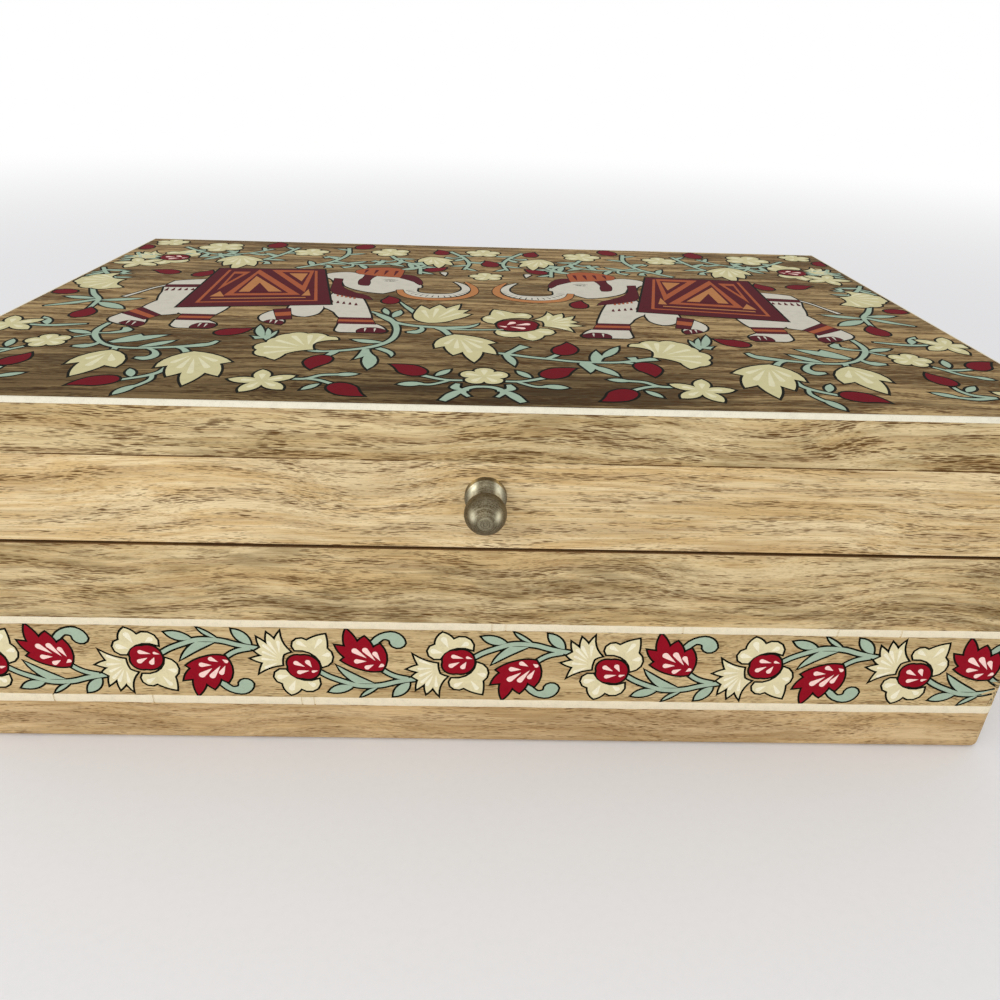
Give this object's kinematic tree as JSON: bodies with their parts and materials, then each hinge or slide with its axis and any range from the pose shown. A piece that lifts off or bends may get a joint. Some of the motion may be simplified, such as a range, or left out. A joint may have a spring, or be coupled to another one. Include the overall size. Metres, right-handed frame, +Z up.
{
  "type": "jewelry box",
  "caption": "Rectangular hinged wooden jewellery box with flush pale strings, a crowned lid edge, a turned ball knob and a lined interior.",
  "frame": {"origin": "middle of the flat underside, on the surface the box stands on", "axes": "+Z up, -Y out of the front face with the knob, +X to the right seen from the front"},
  "size_m": [0.305, 0.2175, 0.1065],
  "materials": {
    "wall_wood": "satin lacquer over straight-grained light hardwood",
    "lid_board_wood": "satin lacquer over darker brown hardwood",
    "bottom_board": "plain sanded board",
    "ivory_string": "polished ivory coloured resin",
    "brass_knob": "aged turned brass",
    "brass_hinge": "plain pressed brass",
    "brass_screws": "plain turned brass",
    "steel_screw": "zinc plated",
    "velvet_lining": "short pile cloth over card"
  },
  "bodies": {
    "base": {"base_back_wall": "wall_wood", "base_bottom_panel": "bottom_board", "base_floor_pad": "velvet_lining", "base_front_wall": "wall_wood", "base_left_wall": "wall_wood", "base_lining_back": "velvet_lining", "base_lining_front": "velvet_lining", "base_lining_left": "velvet_lining", "base_lining_right": "velvet_lining", "base_lower_string_back": "ivory_string", "base_lower_string_front": "ivory_string", "base_lower_string_left": "ivory_string", "base_lower_string_right": "ivory_string", "base_right_wall": "wall_wood", "base_upper_string_back": "ivory_string", "base_upper_string_front": "ivory_string", "base_upper_string_left": "ivory_string", "base_upper_string_right": "ivory_string", "hinge_base_screws": "brass_screws", "hinge_left_base_leaf": "brass_hinge", "hinge_left_pin": "brass_hinge", "hinge_right_base_leaf": "brass_hinge", "hinge_right_pin": "brass_hinge"},
    "lid": {"hinge_left_lid_leaf": "brass_hinge", "hinge_lid_screws": "brass_screws", "hinge_right_lid_leaf": "brass_hinge", "knob": "brass_knob", "knob_screw": "steel_screw", "knob_washer": "steel_screw", "lid_back_rail": "wall_wood", "lid_front_rail": "wall_wood", "lid_left_rail": "wall_wood", "lid_lining_back": "velvet_lining", "lid_lining_front": "velvet_lining", "lid_lining_left": "velvet_lining", "lid_lining_right": "velvet_lining", "lid_lining_top": "velvet_lining", "lid_right_rail": "wall_wood", "lid_string_back": "ivory_string", "lid_string_front": "ivory_string", "lid_string_left": "ivory_string", "lid_string_right": "ivory_string", "lid_top_board": "lid_board_wood"}
  },
  "joints": [
    {"name": "lid_hinge", "type": "hinge", "parent": "base", "child": "lid", "pos_m": [0, 0.098, 0.0677], "axis": [-1, 0, 0], "range_deg": [0, 100]}
  ]
}
